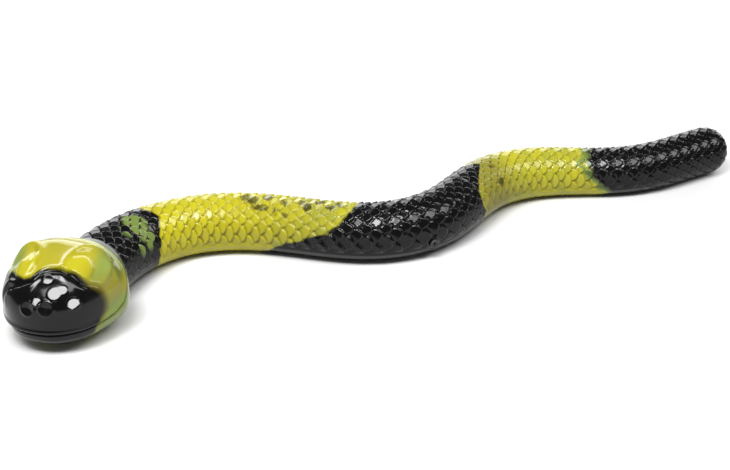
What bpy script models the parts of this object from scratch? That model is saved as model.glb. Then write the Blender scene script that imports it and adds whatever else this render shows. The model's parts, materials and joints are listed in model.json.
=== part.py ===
"""Twisting snake: four hollow mouldings joined end to end by spring-bolt twist joints.

Metres, +Z up.  The snake lies on its flat belly on z = 0, head at -X, tail at +X, and the
origin is the middle of its bounding box, on the ground.  Every length along the snake is
measured on its centreline from the joint behind the head.
"""
import math

import bmesh
import bpy
import numpy as np
from mathutils import Matrix, Vector

# ---- driving dimensions ---------------------------------------------------------------
D = 0.034                        # nominal body diameter; the others are multiples of it
START = (-4.979 * D, -2.035 * D)     # the joint behind the head, seen from above
START_HEADING = 72.8             # degrees from +X, looking from head to tail
# each sweep: (length along the body, heading at its end)
SWEEPS = ((4.444 * D, -15.2), (3.145 * D, 60.0), (2.890 * D, 1.6), (1.903 * D, 34.0),
          (1.934 * D, 27.4))
LENGTH = 13.578 * D              # from the head joint to the tail tip
# body radius at a few places along the centreline
GIRTH = ((0.0, 0.570 * D), (2.0 * D, 0.509 * D), (4.5 * D, 0.495 * D), (6.5 * D, 0.507 * D),
         (8.5 * D, 0.497 * D), (10.5 * D, 0.446 * D), (LENGTH, 0.455 * D))
FLAT = 0.93                      # the belly is cut flat at this part of the radius
WALL = 0.0036                    # moulding wall
TAIL_ROUND = 0.50 * D            # length of the rounded tail end
TAIL_POWER = 2.2                 # bluntness of the tail end

NECK_JOINT = 1.37 * D            # between neck and body
TAIL_JOINT = 7.45 * D            # between body and tail
SEAM = 0.0004                    # gap between two mouldings at a joint

# ---- head ------------------------------------------------------------------------------
# the snout points the way the neck ends; x runs forward from the head joint, y to the left
HEAD_START = 0.073 * D           # the sections begin here once the neck has swollen
HEAD_LENGTH = 1.689 * D
HEAD_HALF_WIDTH = 0.992 * D
HEAD_TOP = 0.751 * D             # from the head's mid height up
HEAD_BOTTOM = 0.624 * D          # from the head's mid height down to the ground
HEAD_SHIFT = -0.038 * D          # the head sits slightly to one side of the neck
HEAD_SWELL = 0.35                # part of the length over which the neck swells to the head
SNOUT_WIDTH_POWER = 2.29
SNOUT_TOP_POWER = 2.36
SNOUT_BOTTOM_POWER = 3.38
HEAD_SQUARENESS = 0.813          # below 1 fills out the corners of the section
HEAD_WALL = 0.0045
EYE_PLACE = (0.86 * D, 0.50 * D)     # x, and y to either side
EYE_REACH = 0.25 * D
EYE_RISE = 0.055 * D
BROW_REACH = 0.36 * D            # the brow arches round the eye at this distance
BROW_SPREAD = 0.11 * D
BROW_RISE = 0.055 * D
SADDLE_DIP = 0.050 * D           # hollow between the brows
SADDLE_SPREAD = (0.36 * D, 0.17 * D)
SADDLE_AT = 0.56 * D
LIP_HEIGHT = (0.60 * D, 0.36 * D)    # the mouth line above ground, at the back and the snout
JAW_SET_BACK = 0.045 * D         # the lower jaw stands in from the lip
HEAD_SIDES = 48                  # straight steps round a head section

# ---- spring-bolt cartridge, along its axis from the joint plane -------------------------
# minus is the head side (cap, spring, washer), plus is the tail side (boss)
FIT = 0.0003                     # clearance between pieces that touch
BORE = 0.0125                    # straight bore in each moulding end
CAP_POCKET = 0.0180              # depth of the bore on the head side
BOSS_POCKET = 0.0125             # depth of the bore on the tail side
CAP_FACE = -0.0006
CAP_FLOOR = -0.0036              # the spring sits on the cap's floor
CAP_END = -0.0120
CAP_WALL = 0.0035
BOSS_FACE = 0.0006
BOSS_END = 0.0115
BOSS_NECK = 0.0045               # the boss is turned down behind its front flange
BOSS_CORE = 0.0065
SHANK = 0.0022                   # shoulder bolt shank radius
BOLT_HEAD = 0.0046
BOLT_HEAD_END = -0.0172
BOLT_HEAD_SEAT = -0.0140
BOLT_TIP = 0.0100
HEX_SOCKET = 0.0018
HEX_DEPTH = 0.0018
WASHER_OUTER = 0.0056
WASHER_THICK = 0.0010
SPRING_RADIUS = 0.0041           # to the middle of the wire
SPRING_WIRE = 0.00055
SPRING_TURNS = 4.5
SPRING_STEPS = 12                # straight steps in one turn

# ---- vent plug -------------------------------------------------------------------------
VENT_AT = 6.30 * D
VENT_ANGLE = 198.0               # round the section, 180 is the right-hand side
VENT_FLANGE = 0.0031
VENT_SHANK = 0.0019
VENT_HOLE = 0.0011
VENT_PROUD = 0.0005
VENT_FLANGE_THICK = 0.0013
VENT_LENGTH = 0.0046

# ---- resolution ------------------------------------------------------------------------
ARC_STEPS = 20                   # straight steps round the curved part of the section
FLAT_STEPS = 4                   # steps across the flat belly
RING_SPACING = 0.30 * D          # between rings on the outside
INNER_SPACING = 0.60 * D         # between rings on the inside
TURNED_SIDES = 24
SMOOTH_ANGLE = math.radians(40)
LINE_STEPS = 1400                # steps used to add up the centreline


# ---- centreline ------------------------------------------------------------------------
def ease(u):
    """0 to 1 with a level start and finish."""
    return (1 - math.cos(math.pi * min(max(u, 0.0), 1.0))) / 2


def heading(s):
    """Direction of the centreline at length s, in radians."""
    begin, start = 0.0, START_HEADING
    for length, end in SWEEPS:
        if s <= begin + length:
            return math.radians(start + (end - start) * ease((s - begin) / length))
        begin, start = begin + length, end
    return math.radians(start)


def add_up_line():
    """Plan positions along the centreline, added up from short straight steps."""
    step = LENGTH / LINE_STEPS
    x, y = START
    places = [(x, y)]
    for i in range(LINE_STEPS):
        turn = heading((i + 0.5) * step)
        x += step * math.cos(turn)
        y += step * math.sin(turn)
        places.append((x, y))
    return np.array(places)


LINE = add_up_line()


def girth(s):
    """Body radius at length s, eased between the given places."""
    for (s0, r0), (s1, r1) in zip(GIRTH[:-1], GIRTH[1:]):
        if s <= s1:
            return r0 + (r1 - r0) * (s - s0) / (s1 - s0)
    return GIRTH[-1][1]


def centre(s):
    """Centre of the section at length s; its height puts the flat belly on z = 0."""
    marks = np.linspace(0.0, LENGTH, LINE_STEPS + 1)
    x = np.interp(s, marks, LINE[:, 0])
    y = np.interp(s, marks, LINE[:, 1])
    return Vector((x, y, FLAT * girth(s)))


def forward(s):
    """Unit vector along the centreline, towards the tail."""
    turn = heading(s)
    return Vector((math.cos(turn), math.sin(turn), 0.0))


def leftward(s):
    """Unit vector square to the centreline, to its left."""
    turn = heading(s)
    return Vector((-math.sin(turn), math.cos(turn), 0.0))


# ---- sections and lofts ----------------------------------------------------------------
def unit_section():
    """Unit circle with its bottom cut flat, as (left, up) pairs."""
    corner = math.asin(FLAT)
    sweep = math.pi + 2 * corner
    arc = [(math.cos(a), math.sin(a))
           for a in (i * sweep / ARC_STEPS - corner for i in range(ARC_STEPS + 1))]
    half = math.cos(corner)
    flat = [(-half + 2 * half * i / FLAT_STEPS, -FLAT) for i in range(1, FLAT_STEPS)]
    return arc + flat


SECTION = unit_section()
ROUND = [(a / math.hypot(a, b), b / math.hypot(a, b)) for a, b in SECTION]


def ring(middle, left, radius, outline):
    """The outline at a radius, standing upright across the body."""
    up = Vector((0.0, 0.0, 1.0))
    return [middle + left * (a * radius) + up * (b * radius) for a, b in outline]


def loft(name, rings, start_pole=None, end_pole=None):
    """Closed mesh through rings of equal count; without poles the last ring joins the first."""
    shape = bmesh.new()
    rows = [[shape.verts.new(point) for point in row] for row in rings]
    count = len(rows[0])
    pairs = list(zip(rows[:-1], rows[1:]))
    if start_pole is None:
        pairs.append((rows[-1], rows[0]))
    for low, high in pairs:
        for i in range(count):
            j = (i + 1) % count
            shape.faces.new((low[i], low[j], high[j], high[i]))
    for pole, row in ((start_pole, rows[0]), (end_pole, rows[-1])):
        if pole is not None:
            tip = shape.verts.new(pole)
            for i in range(count):
                shape.faces.new((tip, row[i], row[(i + 1) % count]))
    bmesh.ops.recalc_face_normals(shape, faces=shape.faces)
    mesh = bpy.data.meshes.new(name)
    shape.to_mesh(mesh)
    shape.free()
    mesh.shade_smooth()
    mesh.set_sharp_from_angle(angle=SMOOTH_ANGLE)
    thing = bpy.data.objects.new(name, mesh)
    bpy.context.scene.collection.objects.link(thing)
    return thing


def stations(start, end, spacing):
    """Evenly spaced lengths from start to end, both included."""
    count = max(2, round((end - start) / spacing) + 1)
    return [start + (end - start) * i / (count - 1) for i in range(count)]


def bore_rings(joint, side, pocket):
    """The straight bore at a joint: its mouth, then its bottom.  side is -1 towards the head."""
    axis = forward(joint) * side
    rings = []
    for depth in (SEAM / 2, pocket):
        rings.append(ring(centre(joint) + axis * depth, leftward(joint), BORE, ROUND))
    return rings


def end_ring(joint, side):
    """The outer edge of a moulding's flat end face."""
    middle = centre(joint) + forward(joint) * (side * SEAM / 2)
    return ring(middle, leftward(joint), girth(joint), SECTION)


def skin_rings(lengths, inset):
    """Sections of the body at the given lengths, inset by a wall thickness."""
    return [ring(centre(s), leftward(s), girth(s) - inset, SECTION) for s in lengths]


# ---- mouldings -------------------------------------------------------------------------
def open_shell(name, start_joint, end_joint):
    """A hollow moulding between two joints, with a straight bore in each end."""
    outer = stations(start_joint, end_joint, RING_SPACING)[1:-1]
    inner = stations(start_joint + BOSS_POCKET + WALL, end_joint - CAP_POCKET - WALL, INNER_SPACING)
    rings = [end_ring(start_joint, 1)] + skin_rings(outer, 0.0) + [end_ring(end_joint, -1)]
    rings += bore_rings(end_joint, -1, CAP_POCKET)
    rings += skin_rings(reversed(inner), WALL)
    rings += reversed(bore_rings(start_joint, 1, BOSS_POCKET))
    return loft(name, rings)


def tail_radius(s):
    """Body radius with the rounded tail end."""
    u = max(0.0, (s - (LENGTH - TAIL_ROUND)) / TAIL_ROUND)
    return girth(s) * math.sqrt(max(0.0, 1 - u ** TAIL_POWER))


def tail_shell():
    """The last moulding: one bored end, and a blunt rounded tip."""
    along = stations(TAIL_JOINT, LENGTH - TAIL_ROUND, RING_SPACING)[1:]
    round_off = [LENGTH - TAIL_ROUND * (1 - part) for part in (0.45, 0.70, 0.86, 0.96)]
    outer = [ring(centre(s), leftward(s), tail_radius(s), SECTION) for s in along + round_off]
    inner_end = LENGTH - WALL
    inner = stations(TAIL_JOINT + BOSS_POCKET + WALL, LENGTH - TAIL_ROUND, INNER_SPACING)
    inner += [LENGTH - TAIL_ROUND * 0.55]
    rings = list(reversed(outer)) + [end_ring(TAIL_JOINT, 1)]
    rings += bore_rings(TAIL_JOINT, 1, BOSS_POCKET)
    rings += [ring(centre(s), leftward(s), tail_radius(s) - WALL, SECTION) for s in inner]
    return loft("tail_shell", rings, start_pole=centre(LENGTH), end_pole=centre(inner_end))


def snout(u, power):
    """Falls from 1 at the back of the head to 0 at the snout's tip."""
    return max(0.0, 1 - u ** power) ** (1 / power)


def bell(x, width):
    """A smooth hill of height 1."""
    return math.exp(-(x / width) ** 2)


def crown(x, y):
    """Height of the brows and eyes above the plain head."""
    to_eye = math.hypot(x - EYE_PLACE[0], abs(y) - EYE_PLACE[1])
    eye = EYE_RISE * math.sqrt(max(0.0, 1 - (to_eye / EYE_REACH) ** 2))
    behind = min(1.0, max(0.0, 0.6 - (x - EYE_PLACE[0]) / BROW_REACH))
    brow = BROW_RISE * bell(to_eye - BROW_REACH, BROW_SPREAD) * behind
    saddle = SADDLE_DIP * bell(x - SADDLE_AT, SADDLE_SPREAD[0]) * bell(y, SADDLE_SPREAD[1])
    return eye + brow - saddle


def head_section(u, inset):
    """One section of the head at part u of its length, inset by a wall thickness."""
    swell = math.sin(min(u / HEAD_SWELL, 1.0) * math.pi / 2)
    neck = girth(0.0)
    half = (neck + (HEAD_HALF_WIDTH - neck) * swell) * snout(u, SNOUT_WIDTH_POWER) - inset
    top = (neck + (HEAD_TOP - neck) * swell) * snout(u, SNOUT_TOP_POWER) - inset
    low = FLAT * neck + (HEAD_BOTTOM - FLAT * neck) * swell
    bottom = low * snout(u, SNOUT_BOTTOM_POWER) - inset
    fill = 1 + (HEAD_SQUARENESS - 1) * swell
    x = HEAD_START * swell + (HEAD_LENGTH - HEAD_START) * u
    lip = LIP_HEIGHT[0] + (LIP_HEIGHT[1] - LIP_HEIGHT[0]) * x / HEAD_LENGTH
    points = []
    for i in range(HEAD_SIDES):
        side, up = math.sin(2 * math.pi * i / HEAD_SIDES), math.cos(2 * math.pi * i / HEAD_SIDES)
        y = half * math.copysign(abs(side) ** fill, side)
        z = low + math.copysign(abs(up) ** fill, up) * (top if up > 0 else bottom)
        if inset == 0.0 and up > 0:
            z += crown(x, y) * swell * min(1.0, up * 2)
        elif inset == 0.0 and z < lip:
            jaw = JAW_SET_BACK * swell * min(1.0, (lip - z) / (0.1 * D))
            y -= math.copysign(min(jaw, abs(y)), y)
        points.append((x, y + HEAD_SHIFT * swell, max(z, inset)))
    return points


def head_place(point):
    """Turn a point of the head's own axes to stand at the end of the neck."""
    ahead = -forward(0.0)
    x, y, z = point
    return Vector((START[0], START[1], 0.0)) + ahead * x - leftward(0.0) * y + Vector((0, 0, z))


def head_shell():
    """The head moulding: a bored flat back, a broad head with eyes and brows, hollow inside."""
    outer = [0.06 + 0.058 * i for i in range(15)] + [0.915, 0.95, 0.98]
    inner = (0.40, 0.55, 0.70, 0.80, 0.87)
    turns = [2 * math.pi * i / HEAD_SIDES for i in range(HEAD_SIDES)]
    round_outline = [(-math.sin(a), math.cos(a)) for a in turns]
    flat_outline = [(a, max(b, -FLAT)) for a, b in round_outline]
    rings = [[head_place(point) for point in head_section(u, 0.0)] for u in reversed(outer)]
    end = centre(0.0) - forward(0.0) * (SEAM / 2)
    rings.append(ring(end, leftward(0.0), girth(0.0), flat_outline))
    for depth in (SEAM / 2, CAP_POCKET):
        middle = centre(0.0) - forward(0.0) * depth
        rings.append(ring(middle, leftward(0.0), BORE, round_outline))
    rings += [[head_place(point) for point in head_section(u, HEAD_WALL)] for u in inner]
    tip = head_place((HEAD_LENGTH, HEAD_SHIFT, HEAD_BOTTOM))
    hollow_end = head_place((HEAD_LENGTH * 0.90, HEAD_SHIFT, HEAD_BOTTOM))
    return loft("head_shell", rings, start_pole=tip, end_pole=hollow_end)


# ---- turned pieces ---------------------------------------------------------------------
def turned(name, profile, solid=False):
    """A profile of (radius, height) pairs turned about Z; a solid one ends on the axis."""
    turns = [2 * math.pi * i / TURNED_SIDES for i in range(TURNED_SIDES)]
    if solid:
        (_, low), (_, high) = profile[0], profile[-1]
        profile = profile[1:-1]
    rings = [[Vector((r * math.cos(a), r * math.sin(a), z)) for a in turns] for r, z in profile]
    if solid:
        return loft(name, rings, start_pole=Vector((0, 0, low)), end_pole=Vector((0, 0, high)))
    return loft(name, rings)


def spring_cap(name):
    """A cup pressed into the head-side bore; the bolt passes through its floor."""
    outside = BORE - FIT
    inside = outside - CAP_WALL
    hole = SHANK + FIT
    chamfer = 0.0006
    return turned(name, [(hole, CAP_FACE), (outside - chamfer, CAP_FACE), (outside, CAP_FACE - chamfer),
                         (outside, CAP_END), (inside, CAP_END), (inside, CAP_FLOOR),
                         (hole, CAP_FLOOR)])


def boss(name):
    """The plug in the tail-side bore that the bolt screws into."""
    outside = BORE - FIT
    hole = SHANK + FIT
    chamfer = 0.0006
    return turned(name, [(hole, BOSS_END), (BOSS_CORE, BOSS_END), (BOSS_CORE, BOSS_NECK),
                         (outside, BOSS_NECK), (outside, BOSS_FACE + chamfer),
                         (outside - chamfer, BOSS_FACE), (hole, BOSS_FACE)])


def shoulder_bolt(name):
    """Bolt with a round head that has a drive socket; it turns with the boss."""
    chamfer = 0.0005
    socket_floor = BOLT_HEAD_END + HEX_DEPTH
    return turned(name, [(0.0, socket_floor), (HEX_SOCKET, socket_floor), (HEX_SOCKET, BOLT_HEAD_END),
                         (BOLT_HEAD - chamfer, BOLT_HEAD_END), (BOLT_HEAD, BOLT_HEAD_END + chamfer),
                         (BOLT_HEAD, BOLT_HEAD_SEAT), (SHANK, BOLT_HEAD_SEAT),
                         (SHANK, BOLT_TIP - chamfer), (SHANK - chamfer, BOLT_TIP),
                         (0.0, BOLT_TIP)], solid=True)


def washer(name):
    """Flat ring under the bolt head that carries the spring."""
    face = BOLT_HEAD_SEAT + FIT
    hole = SHANK + FIT
    return turned(name, [(hole, face), (WASHER_OUTER, face), (WASHER_OUTER, face + WASHER_THICK),
                         (hole, face + WASHER_THICK)])


def spring(name):
    """Round-wire compression spring between the washer and the cap's floor."""
    start = BOLT_HEAD_SEAT + 2 * FIT + WASHER_THICK + SPRING_WIRE
    end = CAP_FLOOR - FIT - SPRING_WIRE
    steps = round(SPRING_TURNS * SPRING_STEPS)
    curve = bpy.data.curves.new(name, "CURVE")
    curve.dimensions = "3D"
    curve.bevel_depth = SPRING_WIRE
    curve.bevel_resolution = 1
    curve.use_fill_caps = True
    wire = curve.splines.new("POLY")
    wire.points.add(steps)
    for i, point in enumerate(wire.points):
        turn = 2 * math.pi * i / SPRING_STEPS
        rise = start + (end - start) * i / steps
        point.co = (SPRING_RADIUS * math.cos(turn), SPRING_RADIUS * math.sin(turn), rise, 1.0)
        point.radius = 1.0
    thing = bpy.data.objects.new(name, curve)
    bpy.context.scene.collection.objects.link(thing)
    return thing


# ---- vent ------------------------------------------------------------------------------
def vent_place():
    """Matrix at the vent, local +Z pointing out of the body wall."""
    angle = math.radians(VENT_ANGLE)
    out = leftward(VENT_AT) * math.cos(angle) + Vector((0, 0, 1)) * math.sin(angle)
    spot = centre(VENT_AT) + out * girth(VENT_AT)
    return Matrix.Translation(spot) @ out.to_track_quat("Z", "Y").to_matrix().to_4x4()


def vent_plug():
    """Small flanged plug with a through hole that closes the moulding's air vent."""
    under = VENT_PROUD - VENT_FLANGE_THICK
    deep = under - VENT_LENGTH + VENT_FLANGE_THICK
    chamfer = 0.0003
    plug = turned("vent_plug", [(VENT_HOLE, VENT_PROUD), (VENT_HOLE, deep), (VENT_SHANK, deep),
                                (VENT_SHANK, under), (VENT_FLANGE, under),
                                (VENT_FLANGE, VENT_PROUD - chamfer),
                                (VENT_FLANGE - chamfer, VENT_PROUD)])
    return plug


def cut_vent(shell):
    """Bore the vent hole and its counterbore through the body wall."""
    under = VENT_PROUD - VENT_FLANGE_THICK
    inside = -2 * WALL
    outside = 3 * VENT_FLANGE_THICK
    cuts = (("vent_bore", VENT_SHANK + FIT, inside, outside),
            ("vent_seat", VENT_FLANGE + FIT, under - FIT, outside))
    for name, radius, low, high in cuts:
        cutter = turned(name, [(0.0, low), (radius, low), (radius, high), (0.0, high)], solid=True)
        cutter.matrix_world = vent_place()
        cutter.hide_render = True
        cutter.display_type = "WIRE"
        cut = shell.modifiers.new(name, "BOOLEAN")
        cut.operation = "DIFFERENCE"
        cut.object = cutter
        cut.solver = "EXACT"


# ---- assembly --------------------------------------------------------------------------
def finish(name, colour, roughness, metallic=0.0):
    """A plain material with one colour."""
    material = bpy.data.materials.new(name)
    material.use_nodes = True
    surface = material.node_tree.nodes["Principled BSDF"]
    surface.inputs["Base Color"].default_value = (*colour, 1.0)
    surface.inputs["Roughness"].default_value = roughness
    surface.inputs["Metallic"].default_value = metallic
    material.diffuse_color = (*colour, 1.0)
    return material


def joint_place(s):
    """Matrix at a joint, local +Z along the twist axis towards the tail."""
    turn = forward(s).to_track_quat("Z", "X").to_matrix().to_4x4()
    return Matrix.Translation(centre(s)) @ turn


def axis_empty(name, place, parent=None):
    """An empty on a twist axis, which the pieces that turn about it are parented to."""
    empty = bpy.data.objects.new(name, None)
    empty.empty_display_size = D / 2
    bpy.context.scene.collection.objects.link(empty)
    attach(empty, parent, place)
    return empty


PLACES = {}


def attach(thing, parent, place):
    """Parent a piece so that it stands at a place given in the world."""
    PLACES[thing.name] = place
    if parent is None:
        thing.matrix_local = place
        return
    thing.parent = parent
    thing.matrix_local = PLACES[parent.name].inverted() @ place


def add_joint(prefix, s, head_side, tail_side, colours):
    """The five pieces of one spring-bolt cartridge, each parented to the side it turns with."""
    pieces = ((spring_cap, "cap", head_side, "cap"), (spring, "spring", head_side, "steel"),
              (washer, "washer", head_side, "steel"), (boss, "boss", tail_side, "boss"),
              (shoulder_bolt, "bolt", tail_side, "steel"))
    for make, ending, side, colour in pieces:
        piece = make(f"{prefix}_{ending}")
        piece.data.materials.append(colours[colour])
        attach(piece, side, joint_place(s))


def clear_scene():
    """Start from nothing."""
    for thing in list(bpy.data.objects):
        bpy.data.objects.remove(thing, do_unlink=True)


def main():
    clear_scene()
    colours = {
        "yellow": finish("yellow_moulding", (0.62, 0.60, 0.03), 0.25),
        "black": finish("black_moulding", (0.012, 0.012, 0.014), 0.20),
        "vent": finish("black_vent", (0.02, 0.02, 0.02), 0.35),
        "cap": finish("white_nylon", (0.75, 0.74, 0.70), 0.45),
        "boss": finish("black_nylon", (0.05, 0.05, 0.05), 0.45),
        "steel": finish("zinc_steel", (0.55, 0.56, 0.58), 0.30, 1.0),
    }
    body_axis = axis_empty("body_frame", Matrix.Identity(4))
    neck_axis = axis_empty("neck_twist_axis", joint_place(NECK_JOINT), body_axis)
    head_axis = axis_empty("head_twist_axis", joint_place(0.0), neck_axis)
    tail_axis = axis_empty("tail_twist_axis", joint_place(TAIL_JOINT), body_axis)

    body_shell = open_shell("body_shell", NECK_JOINT, TAIL_JOINT)
    cut_vent(body_shell)
    shells = ((head_shell(), "yellow", head_axis),
              (open_shell("neck_shell", 0.0, NECK_JOINT), "black", neck_axis),
              (body_shell, "yellow", body_axis),
              (tail_shell(), "black", tail_axis))
    for shell, colour, parent in shells:
        shell.data.materials.append(colours[colour])
        attach(shell, parent, Matrix.Identity(4))

    plug = vent_plug()
    plug.data.materials.append(colours["vent"])
    attach(plug, body_axis, vent_place())

    add_joint("head_joint", 0.0, head_axis, neck_axis, colours)
    add_joint("neck_joint", NECK_JOINT, neck_axis, body_axis, colours)
    add_joint("tail_joint", TAIL_JOINT, body_axis, tail_axis, colours)


main()
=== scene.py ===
# %% [markdown]
# # A twisting toy snake, finished around its working model
#
# The working model gives four smooth hollow mouldings and the spring-bolt joints inside them.
# This notebook gives the mouldings their real surface: overlapping scales, a sculpted head,
# and the marbled black and yellow plastic that a toy maker pours in one mould.

# %% Load the working model
import json
import math

import bpy
import numpy as np
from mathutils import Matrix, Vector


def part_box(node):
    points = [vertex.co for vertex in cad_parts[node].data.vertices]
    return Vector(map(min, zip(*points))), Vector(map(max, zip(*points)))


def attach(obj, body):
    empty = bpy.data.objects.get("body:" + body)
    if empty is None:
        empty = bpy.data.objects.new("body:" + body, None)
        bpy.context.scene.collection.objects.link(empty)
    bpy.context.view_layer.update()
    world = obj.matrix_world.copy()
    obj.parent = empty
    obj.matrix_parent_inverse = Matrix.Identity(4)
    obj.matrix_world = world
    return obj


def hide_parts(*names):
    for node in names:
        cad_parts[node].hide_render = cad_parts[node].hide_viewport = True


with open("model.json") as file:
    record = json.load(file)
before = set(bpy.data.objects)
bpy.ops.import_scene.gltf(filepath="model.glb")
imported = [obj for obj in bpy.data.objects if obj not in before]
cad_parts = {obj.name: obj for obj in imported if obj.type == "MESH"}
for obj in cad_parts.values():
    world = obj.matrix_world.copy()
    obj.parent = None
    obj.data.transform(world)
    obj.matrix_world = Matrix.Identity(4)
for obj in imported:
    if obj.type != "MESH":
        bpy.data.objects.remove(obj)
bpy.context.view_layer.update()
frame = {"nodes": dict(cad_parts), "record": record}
joints = {joint["name"]: joint for joint in frame["record"]["behaviour"]["joints"]}

# %% [markdown]
# ## The line of the body
#
# The snake is one round bar bent in a flat S. It could be drawn as a curve object, but every
# scale has to know how far along the body it sits, so the line is worked out as arrays: the
# heading swings from one value to the next with a level start and finish, and the position is
# the running sum of the heading. The line starts at the joint behind the head, which the
# working model places.

# %% Body dimensions
D = 0.034                        # nominal body diameter
# each swing of the line: its length, and the heading it ends with, in degrees
SWEEPS = ((4.444 * D, -15.2), (3.145 * D, 60.0), (2.890 * D, 1.6), (1.903 * D, 34.0),
          (1.934 * D, 27.4))
LENGTH = 13.578 * D              # from the joint behind the head to the tip of the tail
# (length along the body, radius there)
GIRTH = ((0.0, 0.570 * D), (2.0 * D, 0.509 * D), (4.5 * D, 0.495 * D), (6.5 * D, 0.507 * D),
         (8.5 * D, 0.497 * D), (10.5 * D, 0.446 * D), (LENGTH, 0.455 * D))
FLAT = 0.93                      # the belly is flat at this part of the radius
NECK_JOINT = 1.37 * D            # lengths along the body of the other two joints
TAIL_JOINT = 7.45 * D
SEAM = 0.0004                    # gap between two mouldings
TAIL_ROUND = 0.50 * D            # the tail closes over this last stretch
TAIL_POWER = 2.2                 # how squarely it closes
WALL = 0.0036                    # thickness of the moulded wall
BORE = 0.0125                    # radius of the round mouth at each joint
POCKET = 0.0180                  # and its depth
LINE_POINTS = 4001

# %% The centreline as arrays
start = np.array(joints["head_twist"]["pos_m"][:2])
axis = joints["head_twist"]["axis"]
start_heading = math.degrees(math.atan2(axis[1], axis[0]))


def heading(s):
    """Each swing: start + (end - start) * (1 - cos(pi u)) / 2, with u from 0 to 1 along it."""
    turn = np.full(np.shape(s), start_heading)
    begin, last = 0.0, start_heading
    for length, end in SWEEPS:
        u = np.clip((s - begin) / length, 0.0, 1.0)
        turn = np.where(s >= begin, last + (end - last) * (1 - np.cos(np.pi * u)) / 2, turn)
        begin, last = begin + length, end
    return np.radians(turn)


line_s = np.linspace(0.0, LENGTH, LINE_POINTS)
line_step = line_s[1] - line_s[0]
middles = heading(line_s[:-1] + line_step / 2)
line_x = start[0] + np.concatenate([[0.0], np.cumsum(np.cos(middles)) * line_step])
line_y = start[1] + np.concatenate([[0.0], np.cumsum(np.sin(middles)) * line_step])


def girth(s):
    """Body radius: straight lines between the listed places."""
    places, radii = zip(*GIRTH)
    return np.interp(s, places, radii)


def centre(s):
    """Point on the line at length s; its height keeps the flat belly on the ground."""
    return np.stack([np.interp(s, line_s, line_x), np.interp(s, line_s, line_y),
                     FLAT * girth(s)], axis=-1)


def forward(s):
    """Unit vector from head to tail."""
    turn = heading(s)
    return np.stack([np.cos(turn), np.sin(turn), np.zeros_like(turn)], axis=-1)


def rightward(s):
    """Unit vector square to the line, to its right when looking at the tail."""
    turn = heading(s)
    return np.stack([np.sin(turn), -np.cos(turn), np.zeros_like(turn)], axis=-1)


for name, s in (("neck_twist", NECK_JOINT), ("tail_twist", TAIL_JOINT)):
    miss = np.linalg.norm(centre(np.array(s)) - np.array(joints[name]["pos_m"]))
    print(f"{name} lies {miss * 1000:.3f} mm from the line")

# %% [markdown]
# ## Camera, light and floor
#
# The camera looks down at the snake from in front. The toy is high gloss, so what it reflects
# matters as much as the light it gets. A long white panel and a small one, above and in front,
# put the row of bright patches on the scales. A wide panel behind lights the far side, and the
# pale floor lifts the belly.

# %% Camera
CAMERA_PLACE = (-0.734 * D, -20.671 * D, 10.3 * D)
CAMERA_DOWN = 26.0               # degrees below the horizon
FIELD_OF_VIEW = 30.0             # degrees across
SENSOR_WIDTH = 36.0              # mm
optics = bpy.data.cameras.new("camera")
optics.sensor_width = SENSOR_WIDTH
optics.lens = SENSOR_WIDTH / 2 / math.tan(math.radians(FIELD_OF_VIEW / 2))
optics.clip_start = 0.01
camera = bpy.data.objects.new("camera", optics)
camera.location = CAMERA_PLACE
camera.rotation_euler = (math.radians(90 - CAMERA_DOWN), 0.0, 0.0)
bpy.context.scene.collection.objects.link(camera)
bpy.context.scene.camera = camera
print("camera lens", round(optics.lens, 1), "mm")

# %% Floor, panels and surroundings
FLOOR_GREY = 0.64
FLOOR_DROP = 0.0002              # the floor lies this far under the belly
SURROUND_LIGHT = 0.20            # even white light from all round


def panel(name, place, aim, size, power):
    """A rectangular light that faces a point."""
    light = bpy.data.lights.new(name, "AREA")
    light.shape = "RECTANGLE"
    light.size, light.size_y = size
    light.energy = power
    lamp = bpy.data.objects.new(name, light)
    lamp.location = place
    direction = np.array(aim) - np.array(place)
    level = math.hypot(direction[0], direction[1])
    lamp.rotation_euler = (math.atan2(level, -direction[2]), 0.0,
                           math.atan2(direction[1], direction[0]) - math.pi / 2)
    bpy.context.scene.collection.objects.link(lamp)


def plain_floor(half):
    """A flat pale square of twice the half size."""
    mesh = bpy.data.meshes.new("floor")
    corners = [(-half, -half, 0.0), (half, -half, 0.0), (half, half, 0.0), (-half, half, 0.0)]
    mesh.from_pydata(corners, [], [(0, 1, 2, 3)])
    floor = bpy.data.objects.new("floor", mesh)
    floor.location.z = -FLOOR_DROP
    bpy.context.scene.collection.objects.link(floor)
    paint = bpy.data.materials.new("pale_floor")
    paint.use_nodes = True
    surface = paint.node_tree.nodes["Principled BSDF"]
    surface.inputs["Base Color"].default_value = (FLOOR_GREY,) * 3 + (1.0,)
    surface.inputs["Roughness"].default_value = 0.85
    surface.inputs["Specular IOR Level"].default_value = 0.1
    mesh.materials.append(paint)
    return floor


plain_floor(half=6.0)
# name, place, the point it faces, its two sides in metres, and its power in watts
panel("key_panel", (0.10, -0.48, 1.00), (0.03, 0.0, 0.02), (1.75, 0.42), 19.5)
panel("small_panel", (-0.28, -0.52, 0.92), (-0.15, 0.0, 0.02), (0.40, 0.26), 8.0)
panel("back_panel", (0.0, 1.25, 0.55), (0.0, 0.0, 0.10), (2.6, 0.8), 25.0)
world = bpy.data.worlds.new("studio")
world.use_nodes = True
surroundings = world.node_tree.nodes["Background"]
surroundings.inputs["Color"].default_value = (1.0, 1.0, 1.0, 1.0)
surroundings.inputs["Strength"].default_value = SURROUND_LIGHT
bpy.context.scene.world = world
bpy.context.scene.view_settings.view_transform = "Standard"

# %% [markdown]
# ## Scales
#
# The scales stand in rings round the body. Each ring is shifted half a scale from the one
# before, and every scale's rounded free edge lies over the ring behind it, towards the tail.
# They could be hundreds of little objects, but the real ones are part of the moulding, so they
# are one height map instead: at each point, find the most headward scale that still covers it,
# and read off how high that scale stands there.

# %% Scale sizes
RING_PITCH = 0.130               # from one ring to the next, in body diameters
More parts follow.
